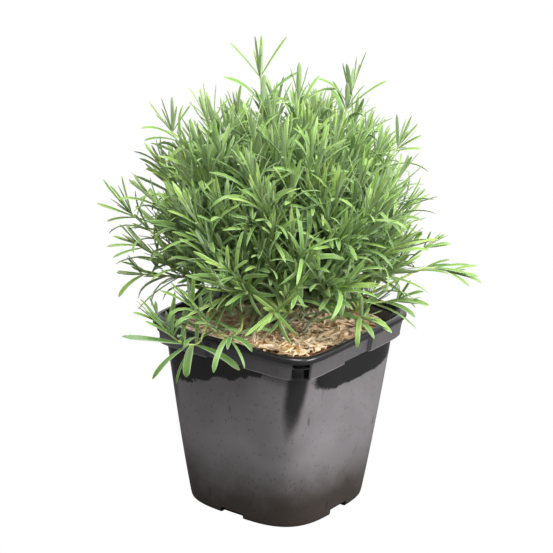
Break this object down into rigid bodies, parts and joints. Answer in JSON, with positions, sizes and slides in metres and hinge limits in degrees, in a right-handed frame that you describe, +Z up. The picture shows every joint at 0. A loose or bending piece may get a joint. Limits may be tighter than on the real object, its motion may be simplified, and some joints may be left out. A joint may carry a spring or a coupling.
{
  "type": "potted lavender",
  "caption": "Bushy young lavender, not in flower, with narrow grey-green leaves, growing from a bed of wood chips in a square black plastic nursery pot.",
  "frame": {"origin": "centre of the pot's underside, on the surface that it stands on", "axes": "+Z up; the square pot's sides lie along X and Y, and the chips lie highest in the corner towards +X and -Y"},
  "size_m": [0.291, 0.2961, 0.4189],
  "materials": {
    "black_plastic": "black injection-moulded polypropylene, semi-gloss, with a dusty film and water marks on the lower wall",
    "compost": "brown peat compost matted with roots",
    "wood_chips": "pale, dry shredded wood chips",
    "bark": "thin grey-brown bark of a young woody stem",
    "shoot_green": "narrow felted leaves, mid green to grey-green with pale edges, on yellow-green stems"
  },
  "bodies": {
    "root": {"dome_shoot_01": "shoot_green", "dome_shoot_02": "shoot_green", "dome_shoot_03": "shoot_green", "dome_shoot_04": "shoot_green", "dome_shoot_05": "shoot_green", "dome_shoot_06": "shoot_green", "dome_shoot_07": "shoot_green", "dome_shoot_08": "shoot_green", "dome_shoot_09": "shoot_green", "dome_shoot_10": "shoot_green", "dome_shoot_11": "shoot_green", "dome_shoot_12": "shoot_green", "dome_shoot_13": "shoot_green", "dome_shoot_14": "shoot_green", "dome_shoot_15": "shoot_green", "dome_shoot_16": "shoot_green", "dome_shoot_17": "shoot_green", "dome_shoot_18": "shoot_green", "dome_shoot_19": "shoot_green", "dome_shoot_20": "shoot_green", "dome_shoot_21": "shoot_green", "dome_shoot_22": "shoot_green", "dome_shoot_23": "shoot_green", "dome_shoot_24": "shoot_green", "dome_shoot_25": "shoot_green", "dome_shoot_26": "shoot_green", "dome_shoot_27": "shoot_green", "front_low_shoot": "shoot_green", "left_flank_shoot": "shoot_green", "left_low_shoot": "shoot_green", "left_rear_shoot": "shoot_green", "left_shoot": "shoot_green", "left_shoulder_shoot": "shoot_green", "pot": "black_plastic", "right_flank_shoot": "shoot_green", "right_low_shoot": "shoot_green", "right_shoot": "shoot_green", "right_shoulder_shoot": "shoot_green", "right_trailing_shoot": "shoot_green", "rim_shoot_1": "shoot_green", "rim_shoot_2": "shoot_green", "root_ball": "compost", "tall_shoot_1": "shoot_green", "tall_shoot_2": "shoot_green", "tall_shoot_3": "shoot_green", "upper_left_shoot": "shoot_green", "wood_chip_mulch": "wood_chips", "woody_crown": "bark"}
  },
  "joints": []
}
